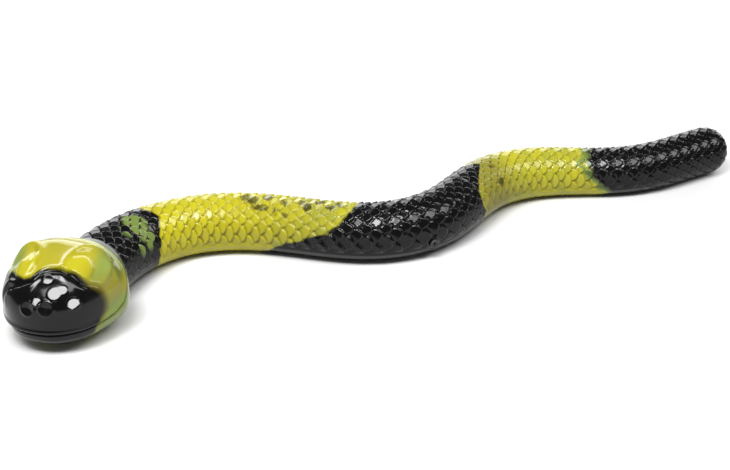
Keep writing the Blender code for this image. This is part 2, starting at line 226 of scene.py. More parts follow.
# (degrees from the top, scales counted from the top): they grow taller towards the belly
SCALE_ROWS = ((0.0, 0.0), (72.0, 3.0), (112.0, 4.0), (180.0, 6.0))
BELLY_LINE = 112.0               # degrees from the top where the side scales end
TAIL_ALL_ROUND = (11.0 * D, 12.3 * D)    # between these the scales close round the belly
EVEN_SCALE = 22.5                # degrees to a scale past there: sixteen all round
LOBE = 1.12                      # how far a free edge reaches past its ring, in rings
COVER = 2.1                      # a scale rises over this many rings, mostly under the others
RELIEF = 0.0024                  # height in metres that a scale height of 1 stands for
COLLAR_END = 0.16 * D            # smooth collar behind the head


def smooth_step(x, low, high):
    """0 below low, 1 above high, 3 t^2 - 2 t^3 between."""
    t = np.clip((x - low) / (high - low), 0.0, 1.0)
    return t * t * (3 - 2 * t)


def bell(x, width):
    """exp(-(x / width)^2)."""
    return np.exp(-(x / width) ** 2)


def blended(first, second, amount):
    """first * (1 - amount) + second * amount."""
    return first * (1 - amount) + second * amount


def scale_count(s, angle):
    """Scales round the body from the top: even above, one tall scale, then the belly."""
    size = np.abs(np.degrees(angle))
    plain = np.interp(size, *zip(*SCALE_ROWS))
    return np.sign(angle) * blended(plain, size / EVEN_SCALE, smooth_step(s, *TAIL_ALL_ROUND))


# %% Height of the scales
FAR = 9.0                        # stands for a distance that no groove reaches


def scale_height(rings, across):
    """Height from 0 to 1, and one fixed random number for each scale.

    Places are counted in rings along the body and in scales round it. A scale covers the half
    oval (along / LOBE)^2 + (2 across)^2 < 1 past the middle of its ring, and everything before
    it. Its height is 0.10 + 0.80 (1 - behind)^1.2 - 0.12 offset^2, with a bead inside the free
    edge, a groove along the edge, and a finer groove in the scale below it.
    """
    height = np.full(rings.shape, -1.0)          # -1 until a scale covers the point
    past_edge = np.full(rings.shape, FAR)
    cell = np.zeros(rings.shape)
    last = np.ceil(rings)
    for back in (2, 1, 0):
        ring = last - back
        half = (ring % 2) / 2
        offset = 2 * np.abs(across - half - np.round(across - half))
        oval = np.sqrt((np.maximum(rings - ring, 0.0) / LOBE) ** 2 + offset ** 2)
        inside = (oval <= 1.0) | (rings <= ring)
        fresh = inside & (height < 0.0)
        edge = ring + LOBE * np.sqrt(np.maximum(1 - offset ** 2, 0.0))
        behind = np.clip((edge - rings) / COVER, 0.0, 1.0)
        rim = 1 - np.where(rings > ring, oval, offset)
        bead = 0.10 * bell(rim - 0.10, 0.07)
        plate = 0.10 + 0.80 * (1 - behind) ** 1.2 - 0.12 * offset ** 2 + bead
        plate = plate - 0.42 * bell(rim, 0.07)
        height = np.where(fresh, plate, height)
        # the digits that a large multiple of a sine leaves after its point look random
        column = np.round(across - half)
        number = np.sin(ring * 12.9898 + column * 78.233) * 437.585
        cell = np.where(fresh, number - np.floor(number), cell)
        past_edge = np.minimum(past_edge, np.where(inside, FAR, oval - 1.0))
    return np.clip(height - 0.30 * bell(past_edge, 0.13), 0.0, 1.0), cell


# %% Build a grid surface
def signed_volume(mesh):
    """Sum of tetrahedra from the origin; positive when the faces point outwards."""
    mesh.calc_loop_triangles()
    corners = np.zeros(len(mesh.vertices) * 3)
    mesh.vertices.foreach_get("co", corners)
    corners = corners.reshape(-1, 3)
    picks = np.zeros(len(mesh.loop_triangles) * 3, dtype=np.int32)
    mesh.loop_triangles.foreach_get("vertices", picks)
    a, b, c = (corners[picks.reshape(-1, 3)[:, i]] for i in range(3))
    return float(np.einsum("ij,ij->i", a, np.cross(b, c)).sum() / 6)


def grid_parts(points, paint, start_pole, end_pole):
    """Points and paint as lists, squares between the rows, and a fan of triangles at each pole."""
    rows, columns = points.shape[:2]
    index = np.arange(rows * columns).reshape(rows, columns)
    low, high = index[:-1], index[1:]
    if start_pole is None:
        low, high = index, np.roll(index, -1, axis=0)
    squares = np.stack([low, np.roll(low, -1, axis=1), np.roll(high, -1, axis=1), high], axis=-1)
    vertices = points.reshape(-1, 3)
    shades = paint.reshape(-1, paint.shape[-1])
    triangles = np.zeros((0, 3), dtype=int)
    for pole, row, order in ((start_pole, index[0], 1), (end_pole, index[-1], -1)):
        if pole is not None:
            fan = [np.full(columns, len(vertices)), np.roll(row, -order), row]
            triangles = np.vstack([triangles, np.stack(fan, axis=-1)])
            vertices = np.vstack([vertices, pole])
            shades = np.vstack([shades, shades[row].mean(axis=0)])
    return vertices, shades, squares.reshape(-1, 4), triangles


def grid_object(name, points, paint, start_pole=None, end_pole=None):
    """Closed mesh through rows of points; without poles the last row joins the first."""
    vertices, shades, squares, triangles = grid_parts(points, paint, start_pole, end_pole)
    loops = np.concatenate([squares.ravel(), triangles.ravel()])
    sizes = np.concatenate([np.full(len(squares), 4), np.full(len(triangles), 3)])
    mesh = bpy.data.meshes.new(name)
    mesh.vertices.add(len(vertices))
    mesh.vertices.foreach_set("co", vertices.astype(np.float32).ravel())
    mesh.loops.add(len(loops))
    mesh.loops.foreach_set("vertex_index", loops.astype(np.int32))
    mesh.polygons.add(len(sizes))
    mesh.polygons.foreach_set("loop_start", (np.cumsum(sizes) - sizes).astype(np.int32))
    mesh.update(calc_edges=True)
    mesh.validate()
    if signed_volume(mesh) < 0.0:
        mesh.flip_normals()
    layer = mesh.attributes.new("paint", "FLOAT_COLOR", "POINT")
    layer.data.foreach_set("color", shades.astype(np.float32).ravel())
    mesh.shade_smooth()
    thing = bpy.data.objects.new(name, mesh)
    bpy.context.scene.collection.objects.link(thing)
    print(name, len(vertices), "points,", round(signed_volume(mesh) * 1e6, 2), "cm3")
    return thing


def outward(points):
    """Unit normals of a grid that runs round in its second direction."""
    along = np.gradient(points, axis=0)
    round_it = np.roll(points, -1, axis=1) - np.roll(points, 1, axis=1)
    normal = np.cross(along, round_it)
    normal /= np.maximum(np.linalg.norm(normal, axis=-1, keepdims=True), 1e-12)
    middle = points.mean(axis=1, keepdims=True)
    side = np.sign(np.median(np.sum(normal * (points - middle), axis=-1)))
    return normal * side


# %% [markdown]
# ## Marbling
#
# The two colours are poured together, so their borders wander and feather, with green where
# yellow runs thin over black. A painted image would need its own picture file, so each point of
# the surface stores four numbers instead: how black it is, how green, how olive, and how high it
# stands on its scale, which sets the painted shade in the grooves and the painted highlight on
# the tops of the black scales. The wandering is a sum of a few sine waves in three dimensions
# with fixed directions, which gives the same swirls on every run.

# %% Swirls
SWIRLS = np.random.default_rng(7)
WAVE_COUNT = 14
WAVES = [(SWIRLS.normal(size=3), SWIRLS.uniform(0, 2 * np.pi)) for _ in range(WAVE_COUNT)]
SWIRL_GAIN = 1.9                 # brings the average of so many sines back up to about 1


def swirl(points, size):
    """Smooth noise, about -1 to 1: SWIRL_GAIN * mean of sin(direction . point / size + phase)."""
    total = np.zeros(points.shape[:-1])
    for direction, phase in WAVES:
        total += np.sin(points @ direction / size + phase)
    return total / WAVE_COUNT * SWIRL_GAIN


# %% Colour borders along the body
# (degrees from the top on the near side, length in body diameters)
BODY_BORDER = ((-180, 3.7), (-140, 4.3), (-60, 5.3), (6, 5.20), (33, 5.08), (54, 4.99), (75, 4.81),
               (84, 4.58), (96, 4.40), (108, 4.13), (129, 3.83), (150, 3.64), (180, 3.7))
TAIL_BORDER = ((-180, 10.6), (-60, 10.5), (9, 10.4), (51, 10.4), (84, 10.46), (102, 10.68),
               (132, 10.81), (180, 10.6))
NECK_BREAK = ((-180, 1.45), (-30, 1.55), (3, 1.59), (30, 1.68), (72, 1.43), (99, 1.37), (180, 1.45))
TAIL_BREAK = ((-180, 7.7), (-60, 8.1), (3, 8.16), (33, 7.66), (51, 7.45), (78, 7.45), (114, 7.60),
              (180, 7.7))


def border(table, angle):
    """Length along the body of a colour border at each angle, in metres."""
    angles, lengths = zip(*table)
    return np.interp(np.degrees(angle), angles, lengths) * D


# %% Black along the body
NECK_ENDS = 1.9 * NECK_JOINT     # up to here the neck's border counts, and then the body's
TAIL_BEGINS = 0.02               # this far past the tail joint's border the tail's own counts


def crossed(past, width):
    """0 before a border and 1 past it, over twice the width."""
    return smooth_step(past, -width, width)


def black_stretches(s, angle, edge):
    """How black the plastic is, and how far past the body's and the tail's borders, in metres."""
    past_body = s - border(BODY_BORDER, angle) + edge
    past_tail = s - border(TAIL_BORDER, angle) + 2.0 * edge
    neck_black = 1 - crossed(s - border(NECK_BREAK, angle) + 0.5 * edge, 0.0006)
    joint_black = 1 - crossed(s - border(TAIL_BREAK, angle) + 0.5 * edge, 0.0006)
    black = np.where(s < NECK_ENDS, neck_black, crossed(past_body, 0.0010) * joint_black)
    past_joint = s > border(TAIL_BREAK, angle) + TAIL_BEGINS
    return np.where(past_joint, crossed(past_tail, 0.0018), black), past_body, past_tail


# stray blots of black on the yellow: (degrees from the top, body diameters along it)
BLOTS = ((4, 3.36), (14, 3.50), (30, 3.67), (2, 3.72), (39, 3.93), (44, 4.10), (14, 4.02), (6, 4.30),
         (18, 4.45), (2, 4.62), (12, 4.80), (0, 4.95), (62, 8.25), (20, 8.32))
BLOT_SIZE = (13.0, 0.11)         # half sizes of a blot, in the same two units


def blot_cover(s, degrees):
    """The highest of the blots' bells, each 1 at its middle."""
    cover = np.zeros_like(s)
    for place, length in BLOTS:
        away = np.hypot((degrees - place) / BLOT_SIZE[0], (s / D - length) / BLOT_SIZE[1])
        cover = np.maximum(cover, bell(away, 1.0))
    return cover


# %% Paint of the body
NECK_GREEN = (1.11 * D, 36)      # middle of the green on the neck: length, degrees from the top
REAR_GREEN = 9.5 * D             # the green by the tail's border starts after this
OLIVE_SIDE = (3.2 * D, 85)       # middle of the olive low on the body
OLIVE_TAIL = 8.0 * D             # middle of the olive behind the tail joint
OLIVE_BODY = 4.5 * D             # middle of a fainter olive all round


def body_paint(s, angle, points, cell, height):
    """Black, green, olive and height at each point.

    cell is the random number of the point's scale, so whole scales take a tint together.
    """
    wander = swirl(points, 0.0035)
    fine = swirl(points + 0.3, 0.0014)
    degrees = np.degrees(angle)
    edge = 0.0016 * wander + 0.0009 * fine + 0.0016 * (cell - 0.5)
    black, past_body, past_tail = black_stretches(s, angle, edge)
    # green shows on whole plates, following the scales; the grooves between them stay black as painted
    # shade
    plate = smooth_step(height, 0.25, 0.50)
    patch = bell(s - NECK_GREEN[0], 0.30 * D) * bell(degrees - NECK_GREEN[1], 44) * (s < NECK_JOINT)
    patch = (patch + 0.60 * (cell - 0.5) + 0.12 * wander) * (patch > 0.10) * plate
    rear = bell(past_tail - 0.001, 0.0030) * (s > REAR_GREEN)
    rear = (rear + 0.5 * (cell - 0.5) + 0.2 * wander) * (rear > 0.10) * plate
    near_black = 0.45 * bell(past_body + 0.003, 0.005) * smooth_step(cell + 0.2 * wander, 0.3, 0.9)
    tinge = 0.22 * smooth_step(s, 3.0 * D, 4.8 * D) * (0.5 + cell)
    green = smooth_step(np.maximum(patch, rear), 0.20, 0.36)
    green = np.maximum(green, np.maximum(near_black, tinge))
    # the green thins the black, and the blots lie over both
    blot = smooth_step(blot_cover(s, degrees) + 0.40 * fine + 0.30 * (cell - 0.5), 0.45, 0.75)
    black = black * (1 - 0.80 * smooth_step(patch, 0.38, 0.60))
    black = black * (1 - 0.40 * smooth_step(rear, 0.45, 0.75))
    black = np.maximum(black, (0.45 + 0.4 * cell) * blot)
    olive = 0.30 * smooth_step(swirl(points - 0.7, 0.006), 0.1, 0.9) + 0.22 * (cell - 0.4)
    olive = olive + 0.25 * bell(s - OLIVE_SIDE[0], 0.9 * D) * bell(degrees - OLIVE_SIDE[1], 18)
    olive = olive + 1.3 * bell(s - OLIVE_TAIL, 0.60 * D) * (s > TAIL_JOINT)
    olive = olive + 0.30 * bell(s - OLIVE_BODY, 0.8 * D)
    return np.stack([black, green, np.clip(olive, 0, 1), height], axis=-1)


# %% [markdown]
# ## The three scaled mouldings
#
# Neck, body and tail share one recipe: walk along the line, lay an upright D-shaped section at
# each step, then sink every point below the outline by what the scales leave out. A Displace
# modifier could do the sinking from a texture, but it would blur the edges that the formula
# puts exactly in place. The section is a circle whose bottom is softly flattened. Each moulding
# is closed round its wall: outside, end face, bore, hollow inside and back.

# %% Plain skin
AROUND = 220                     # points in a ring
SIDE_CROWDING = 0.115            # the points stand closer together on the sides
FLAT_POWER = 26                  # how crisply the round side turns into the flat belly
UP = np.array([0.0, 0.0, 1.0])
turns = np.linspace(-1.0, 1.0, AROUND, endpoint=False)
angles = np.pi * (turns - SIDE_CROWDING * np.sin(2 * np.pi * turns))


def section_reach(angle):
    """Distance to the outline of a unit circle with a softly flattened bottom."""
    down = np.maximum(-np.cos(angle) / FLAT, 1e-6)
    return (1 + down ** FLAT_POWER) ** (-1 / FLAT_POWER)


def tail_girth(s):
    """Girth with the blunt end: times sqrt(1 - u^power) over the last stretch."""
    u = np.clip((s - (LENGTH - TAIL_ROUND)) / TAIL_ROUND, 0.0, 1.0)
    return girth(s) * np.sqrt(np.maximum(1 - u ** TAIL_POWER, 0.0))


def plain_skin(s, radius, reach):
    """Points centre + radius * reach * (right sin a + up cos a)."""
    middle, right = centre(s)[:, None, :], rightward(s)[:, None, :]
    spoke = right * np.sin(angles)[None, :, None] + UP * np.cos(angles)[None, :, None]
    return middle + spoke * (radius[:, None] * reach[None, :])[..., None]


# %% Scaled skin
vent_low, vent_high = (np.array(corner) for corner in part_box("vent_plug"))
vent_place = (vent_low + vent_high) / 2
VENT_SEAT = (0.0041, 0.0009)     # radius of the smooth seat round the vent, and its soft edge
TIP = 0.012 * TAIL_ROUND         # the scales fade out over this last stretch
# heights of the smooth places, on the scales' range from 0 to 1
BELLY_HEIGHT = 0.80
COLLAR_HEIGHT = 0.95
SEAT_HEIGHT = 0.58
TIP_HEIGHT = 0.5


def scaled_skin(s):
    """The plain skin, sunk along its normal by RELIEF * (1 - height), and its paint."""
    points = plain_skin(s, tail_girth(s), section_reach(angles))
    length, angle = np.broadcast_arrays(s[:, None], angles[None, :])
    height, cell = scale_height(length / (RING_PITCH * D), scale_count(length, angle))
    # the belly is smooth, with a shallow channel along the ends of the side scales
    size = np.abs(np.degrees(angle))
    mix = smooth_step(length, *TAIL_ALL_ROUND)
    belly = smooth_step(size, BELLY_LINE - 1.0, BELLY_LINE + 2.0) * (1 - mix)
    channel = 0.30 * bell(size - BELLY_LINE - 4.0, 2.0) * (1 - mix)
    height = blended(height, BELLY_HEIGHT - channel, belly)
    collar = 1 - smooth_step(length, COLLAR_END * 0.8, COLLAR_END * 1.25)
    height = blended(height, COLLAR_HEIGHT, collar)
    to_vent = np.linalg.norm(points - vent_place, axis=-1)
    seat = 1 - smooth_step(to_vent, VENT_SEAT[0], VENT_SEAT[0] + VENT_SEAT[1])
    height = blended(height, SEAT_HEIGHT, seat)
    height = blended(height, TIP_HEIGHT, smooth_step(length, LENGTH - TIP, LENGTH))
    sunk = points - outward(points) * (RELIEF * (1 - height))[..., None]
    return sunk, body_paint(length, angle, points, cell, height)


# %% Walls behind the skin
def upright_ring(s, depth, radius, reach):
    """One ring across the twist axis at a joint, depth metres along it."""
    place = np.array([s])
    ring = plain_skin(place, np.array([radius]), reach)[0]
    return ring + forward(place) * depth


def bore(s, side):
    """The bored mouth of a moulding: its edge, then its bottom."""
    plain = np.ones(AROUND)
    return [upright_ring(s, side * depth, BORE, plain) for depth in (SEAM / 2, POCKET)]


HOLLOW_RINGS = 14


def hollow(begin, end):
    """Rings of the inner wall."""
    s = np.linspace(begin, end, HOLLOW_RINGS)
    return list(plain_skin(s, girth(s) - WALL, section_reach(angles)))


def dyed_through(rings, shades):
    """Add paint rows for the inner rings: the colour runs right through the plastic."""
    inner = np.repeat(shades[-1:], len(rings), axis=0)
    return np.concatenate([shades, inner])


# %% Neck and body
def open_moulding(name, begin, end, steps):
    """Outside rows from one joint to the next, then the bores and the hollow between them."""
    skin, shades = scaled_skin(np.linspace(begin + SEAM / 2, end - SEAM / 2, steps))
    inside = bore(end, -1) + hollow(end - POCKET - WALL, begin + POCKET + WALL)
    inside += list(reversed(bore(begin, 1)))
    points = np.concatenate([skin, np.stack(inside)])
    return grid_object(name, points, dyed_through(inside, shades))


neck = open_moulding("scaled_neck", 0.0, NECK_JOINT, steps=130)
body = open_moulding("scaled_body", NECK_JOINT, TAIL_JOINT, steps=425)

# %% Tail
TAIL_ROWS = 400
TAIL_CROWDING = 0.97             # the rows stand a little closer together towards the tip
tail_begin = TAIL_JOINT + SEAM / 2
tail_s = tail_begin + (LENGTH - tail_begin) * np.linspace(0, 1, TAIL_ROWS) ** TAIL_CROWDING
tail_skin, tail_shades = scaled_skin(tail_s[:-1])
tail_inside = bore(TAIL_JOINT, 1) + hollow(TAIL_JOINT + POCKET + WALL, LENGTH - TAIL_ROUND)
tail_points = np.concatenate([tail_skin[::-1], np.stack(tail_inside)])
tail = grid_object("scaled_tail", tail_points, dyed_through(tail_inside, tail_shades[::-1]),
                   start_pole=centre(np.array([LENGTH]))[0],
                   end_pole=centre(np.array([LENGTH - TAIL_ROUND / 2]))[0])

# %% [markdown]
# ## The head
#
# The head swells from the neck to twice its width and closes in a broad blunt snout. Each
# section is a squared oval. The face could be pushed and pulled with sculpting brushes, but a
# stroke can't be read or corrected later. So the touches are laid on the plain form as soft
# hills and hollows, each placed by its distance from a point or a line: brow ridges, eye domes,
# the fold over the muzzle, nostrils, flat plates on the snout, the long mouth line and the jaw
# below it.

# %% Plain head, in body diameters
HEAD_START = 0.07                # how far the swelling pushes the sections forwards
HEAD_END = 1.689                 # from the joint to the tip of the snout
HEAD_WIDE = 0.992                # half width
HEAD_TALL = 0.751                # from the middle of a section up to the crown
HEAD_DEEP = 0.624                # and down to the ground
HEAD_SWELL = 0.35                # the share of the length that swells from the neck's size
HEAD_SQUARE = 0.81               # 1 would be an oval, and less is squarer
HEAD_SHIFT = -0.038              # the head stands this far to one side of the neck's line
SNOUT_POWERS = (2.29, 2.36, 3.38)        # how squarely the sides, the top and the jaw close


def close(u, power):
    """(1 - u^power)^(1 / power)."""
    return np.maximum(1 - u ** power, 0.0) ** (1 / power)


def head_form(u, angle):
    """Plain head in its own axes (snoutward, left, up), in body diameters."""
    neck_radius = girth(np.array(0.0)) / D
    swell = np.sin(np.clip(u / HEAD_SWELL, 0, 1) * np.pi / 2)
    half = (neck_radius + (HEAD_WIDE - neck_radius) * swell) * close(u, SNOUT_POWERS[0])
    top = (neck_radius + (HEAD_TALL - neck_radius) * swell) * close(u, SNOUT_POWERS[1])
    middle = FLAT * neck_radius + (HEAD_DEEP - FLAT * neck_radius) * swell
    bottom = middle * close(u, SNOUT_POWERS[2])
    fill = 1 + (HEAD_SQUARE - 1) * swell
    side, rise = np.sin(angle), np.cos(angle)
    ahead = HEAD_START * swell + (HEAD_END - HEAD_START) * u
    across = half * np.sign(side) * np.abs(side) ** fill + HEAD_SHIFT * swell
    lift = np.sign(rise) * np.abs(rise) ** fill * np.where(rise > 0, top, bottom)
    on_ground = np.maximum(middle + lift, 0.0)
    return np.stack(np.broadcast_arrays(ahead, across, on_ground), axis=-1)


# %% Where the head stands
head_turn = math.radians(start_heading + 180)
HEAD_FORWARD = np.array([math.cos(head_turn), math.sin(head_turn), 0.0])
HEAD_LEFT = np.array([-math.sin(head_turn), math.cos(head_turn), 0.0])


def head_to_world(p):
    """Turn the head's own axes to point the way the neck ends, and scale to metres."""
    level = p[..., 0:1] * HEAD_FORWARD + p[..., 1:2] * HEAD_LEFT
    return level * D + np.array([start[0], start[1], 0.0]) + p[..., 2:3] * D * UP


# %% The face's own axes
FACE_TURN = 3.0                  # degrees the face looks to one side of the neck's line
FACE_TILT = 11.0                 # degrees it leans, about the height of the eyes
EYE_HEIGHT = 1.10


def face_axes(p):
    """Points in the face's own axes: the head's, turned and then tilted at eye height."""
    turn, tilt = math.radians(FACE_TURN), math.radians(FACE_TILT)
    x, y, z = p[..., 0], p[..., 1] - HEAD_SHIFT, p[..., 2] - EYE_HEIGHT
    ahead = x * math.cos(turn) + y * math.sin(turn)
    side = y * math.cos(turn) - x * math.sin(turn)
    return (ahead, side * math.cos(tilt) + z * math.sin(tilt),
            EYE_HEIGHT + z * math.cos(tilt) - side * math.sin(tilt))


# %% Eyes, mouth and snout plates
EYES = ((1.10, -0.365, 1.28), (1.00, 0.42, 1.15))        # middles of the two domes
EYE_SIZE = (0.26, 0.19, 0.40)            # half sizes of a dome: forwards, sideways, upwards
# the line of the mouth and up round the cheek: (x, z) in the head's axes
MOUTH_LINE = ((0.24, 1.25), (0.38, 1.02), (0.53, 0.78), (0.67, 0.55), (0.85, 0.46), (1.06, 0.42),
              (1.31, 0.38), (1.70, 0.375))
MOUTH_STEP = 0.03                # the line's slope is taken over this far on each side
# the flat plates on the snout: (middle in the face's axes, half width)
SNOUT_PLATES = (((1.36, 0.07, 1.13), 0.085), ((1.43, 0.30, 0.98), 0.075), ((1.51, 0.19, 0.96), 0.105),
                ((1.47, 0.43, 0.77), 0.105), ((1.62, -0.05, 0.91), 0.075))
PLATE_FACE = (0.066, -0.683, 0.728)      # the way the plates look, in the model's axes
PLATE_REACH = 0.04               # a plate moves the surface no further than this


def distance(x, y, z, place, size=(1.0, 1.0, 1.0)):
    """How far a point is from a place, in units of the half sizes."""
    return np.sqrt(((x - place[0]) / size[0]) ** 2 + ((y - place[1]) / size[1]) ** 2
                   + ((z - place[2]) / size[2]) ** 2)


def to_eye(x, y, z):
    """0 in the middle of an eye and 1 at its edge."""
    return np.minimum(*(distance(x, y, z, eye, EYE_SIZE) for eye in EYES))


def from_mouth(x, z):
    """Height over the mouth line, measured square to it."""
    lengths, heights = zip(*MOUTH_LINE)
    ahead, behind = (np.interp(x + step, lengths, heights) for step in (MOUTH_STEP, -MOUTH_STEP))
    slope = (ahead - behind) / (2 * MOUTH_STEP)
    return (z - np.interp(x, lengths, heights)) / np.sqrt(1 + slope ** 2)


def snout_plates(p, normals):
    """Height that brings the surface to each plate's plane, inside its width.

    A plane is square to PLATE_FACE and goes through the point nearest the plate's middle.
    """
    x, y, z = face_axes(p)
    look = np.array(PLATE_FACE) / np.linalg.norm(PLATE_FACE)
    own = np.array([look @ HEAD_FORWARD, look @ HEAD_LEFT, look[2]])
    total = np.zeros_like(x)
    for place, width in SNOUT_PLATES:
        away = distance(x, y, z, place)
        nearest = np.unravel_index(np.argmin(away), away.shape)
        plane = (p[nearest] - p) @ own / np.maximum(normals @ own, 0.3)
        inside = 1 - smooth_step(away, 0.75 * width, 1.15 * width)
        total = blended(total, np.clip(plane, -PLATE_REACH, PLATE_REACH), inside)
    return total


# %% The sculptor's touches
BROW = (0.98, 0.50, 1.15)                # the brows bend round this point and its mirror
BROW_SIZE = (0.44, 0.30, 0.44)           # half sizes of the oval they follow
TEMPLE = (0.84, -0.76, 1.16)             # a hollow beside one brow, and a shallower one opposite
NOSTRILS = ((1.66, -0.21, 0.83), (1.65, 0.07, 0.805))
# the fold over the muzzle: (y, x) in the face's axes
FOLD_LINE = ((-0.60, 1.38), (-0.50, 1.415), (-0.34, 1.42), (-0.16, 1.376), (-0.06, 1.25),
             (0.035, 1.19), (0.20, 1.17), (0.40, 1.19), (0.49, 1.206), (0.57, 1.185), (0.67, 1.085))


def head_sculpt(p, normals):
    """Height to add along the normal, in body diameters, at points in the head's own axes.

    Most touches are a height times a bell of the distance from their line or middle.
    """
    x, y, z = face_axes(p)
    mirror = np.abs(y)
    upper = smooth_step(z, 0.72, 0.95)
    outer = 1 - smooth_step(mirror, 0.62, 0.85)
    # eyes: a dome each, in a shallow socket
    eye = to_eye(x, y, z)
    dome = 0.050 * np.maximum(1 - eye ** 2, 0.0) ** 1.1
    socket = -0.016 * bell(eye - 1.10, 0.20) * upper
    # brows: the rear and inner part of an oval ridge, with a dip between them
    ahead, beside = x - BROW[0], mirror - BROW[1]
    arch = smooth_step(0.12 - ahead - 0.20 * beside, -0.16, 0.08)
    brow = 0.050 * bell(distance(x, mirror, z, BROW, BROW_SIZE) - 1.0, 0.16) * arch * upper
    brow = brow * (0.65 + 0.35 * outer)
    saddle = -0.026 * bell(y, 0.17) * bell(x - 0.78, 0.30) * smooth_step(z, 0.9, 1.2)
    temple = -0.085 * bell(distance(x, y, z, TEMPLE), 0.26)
    temple = temple - 0.03 * bell(distance(x, -y, z, TEMPLE), 0.26)
    # muzzle: a fold with a roll behind it, and two nostrils with raised rims
    past = x - np.interp(y, *zip(*FOLD_LINE))
    fold = 0.016 * bell(past + 0.05, 0.040) - 0.034 * bell(past - 0.01, 0.035)
    fold = (fold + 0.018 * bell(past - 0.09, 0.05)) * upper * outer
    to_nostril = np.minimum(*(distance(x, y, z, place) for place in NOSTRILS))
    nostril = 0.013 * bell(to_nostril - 0.105, 0.024) - 0.026 * bell(to_nostril, 0.055)
    # mouth: a cut line under a lip, the jaw below it, and the rim at the neck
    snoutward, up = p[..., 0], p[..., 2]
    over = from_mouth(snoutward, up)
    mouth = -0.042 * bell(over, 0.022) + 0.024 * bell(over - 0.055, 0.040)
    mouth = mouth * smooth_step(snoutward, 0.22, 0.36)
    jaw = 0.020 * (1 - smooth_step(over, -0.12, -0.04)) * smooth_step(snoutward, 0.9, 1.3)
    rim = 0.030 * bell(snoutward - 0.16, 0.07) * smooth_step(up, 0.25, 0.5)
    face = dome + socket + brow + saddle + fold + nostril + temple
    return face + snout_plates(p, normals) + mouth + jaw + rim


# %% Paint of the head
PLAIN_HEIGHT = 0.78              # the head has no scales: it gets neither the painted groove shade nor the painted rim highlight
# the black reaches back to here: (y in the face's axes, x), in body diameters
BLACK_LINE = ((-1.0, 1.00), (-0.62, 1.15), (-0.45, 1.29), (-0.31, 1.36), (-0.19, 1.345), (-0.14, 1.25),
              (-0.01, 1.18), (0.12, 1.15), (0.27, 1.155), (0.40, 1.145), (0.50, 1.155), (0.60, 1.14),
              (0.685, 1.075), (0.71, 1.06), (1.0, 1.05))


def head_paint(p, world_points):
    """Black snout and front jaw, yellow crown and eyes, green-tinged olive cheeks."""
    x, y, z = face_axes(p)
    wander = swirl(world_points, 0.006)
    # black in front of its line, and a faint band of it along the top of each cheek
    line = np.interp(y, *zip(*BLACK_LINE)) + 0.05 * (1 - smooth_step(z, 0.30, 0.45))
    soft = 0.03 + 0.04 * smooth_step(y, 0.45, 0.70)
    black = smooth_step((x - line + 0.02 * wander) / soft, -1.0, 1.0)
    band = bell(from_mouth(p[..., 0], p[..., 2]) - 0.20, 0.11) * smooth_step(p[..., 2], 0.80, 1.00)
    band = band * smooth_step(np.abs(p[..., 1]), 0.30, 0.60) * (0.75 + 0.35 * wander)
    black = np.maximum(black, 0.50 * band)
    # green at the back, high on the sides and by the ground; olive elsewhere, most on the cheeks
    # and beside the black; less of both on the eyes
    side = smooth_step(np.abs(y), 0.44, 0.66)
    eye = 1 - smooth_step(to_eye(x, y, z), 0.75, 1.15)
    low = 1 - smooth_step(z, 0.75, 1.05)
    rear = 1 - smooth_step(x - 0.35 * np.abs(y) + 0.10 * wander, 0.10, 0.38)
    blend = bell(x - line + 0.10, 0.13) * smooth_step(y, 0.35, 0.65)
    olive = 0.48 + 0.50 * side * low + 0.60 * blend + 0.30 * wander
    green = 0.85 * rear + 0.80 * side * (1 - 0.85 * low) + 0.75 * (1 - smooth_step(z, 0.42, 0.62))
    green = np.clip(np.maximum(green, band) + 0.20 * wander, 0, 1) * (1 - 0.85 * eye)
    olive = np.clip(olive, 0, 1) * (1 - 0.45 * eye)
    return np.stack([black, green * (1 - black), olive, np.full_like(black, PLAIN_HEIGHT)], axis=-1)


# %% Outside of the head
HEAD_ROWS = 260
HEAD_AROUND = 300
HEAD_CROWDING = 1.6              # the rows stand closer together towards the snout
head_u = 1 - (1 - np.linspace(0.0, 1.0, HEAD_ROWS)[:-1]) ** HEAD_CROWDING
head_angles = np.linspace(-np.pi, np.pi, HEAD_AROUND, endpoint=False)
form = head_form(head_u[:, None], head_angles[None, :])
world_form = head_to_world(form)
normals = outward(world_form)
own_normals = np.stack([normals @ HEAD_FORWARD, normals @ HEAD_LEFT, normals[..., 2]], axis=-1)
sculpted = world_form + normals * (head_sculpt(form, own_normals) * D)[..., None]
sculpted[..., 2] = np.maximum(sculpted[..., 2], 0.0)
head_shades = head_paint(form, world_form)
print("head reaches", sculpted.reshape(-1, 3).min(axis=0), sculpted.reshape(-1, 3).max(axis=0))

# %% Inside of the head
HEAD_WALL = 0.0045
HEAD_HOLLOW = (0.40, 0.50, 0.60, 0.70, 0.80)     # shares of the head's length with an inner ring
HEAD_HOLLOW_END = 0.85


def head_inner_ring(u):
    """A section of the hollow inside the head."""
    ring = head_to_world(head_form(np.array([[u]]), head_angles[None, :]))[0]
    middle = ring.mean(axis=0)
    size = np.linalg.norm(ring - middle, axis=-1, keepdims=True)
    return middle + (ring - middle) * (1 - HEAD_WALL / size)


def head_bore(depth):
    """A ring of the head's bore, depth metres in from the joint."""
    middle = centre(np.array([0.0]))[0] + HEAD_FORWARD * depth
    side, rise = np.sin(head_angles)[:, None], np.cos(head_angles)[:, None]
    return middle + BORE * (HEAD_LEFT * side + UP * rise)


head_inside = [head_bore(SEAM / 2), head_bore(POCKET)]
head_inside += [head_inner_ring(u) for u in HEAD_HOLLOW]
head_points = np.concatenate([sculpted[::-1], np.stack(head_inside)])
head = grid_object("sculpted_head", head_points, dyed_through(head_inside, head_shades[::-1]),
                   start_pole=sculpted[-1].mean(axis=0),
                   end_pole=head_inner_ring(HEAD_HOLLOW_END).mean(axis=0))
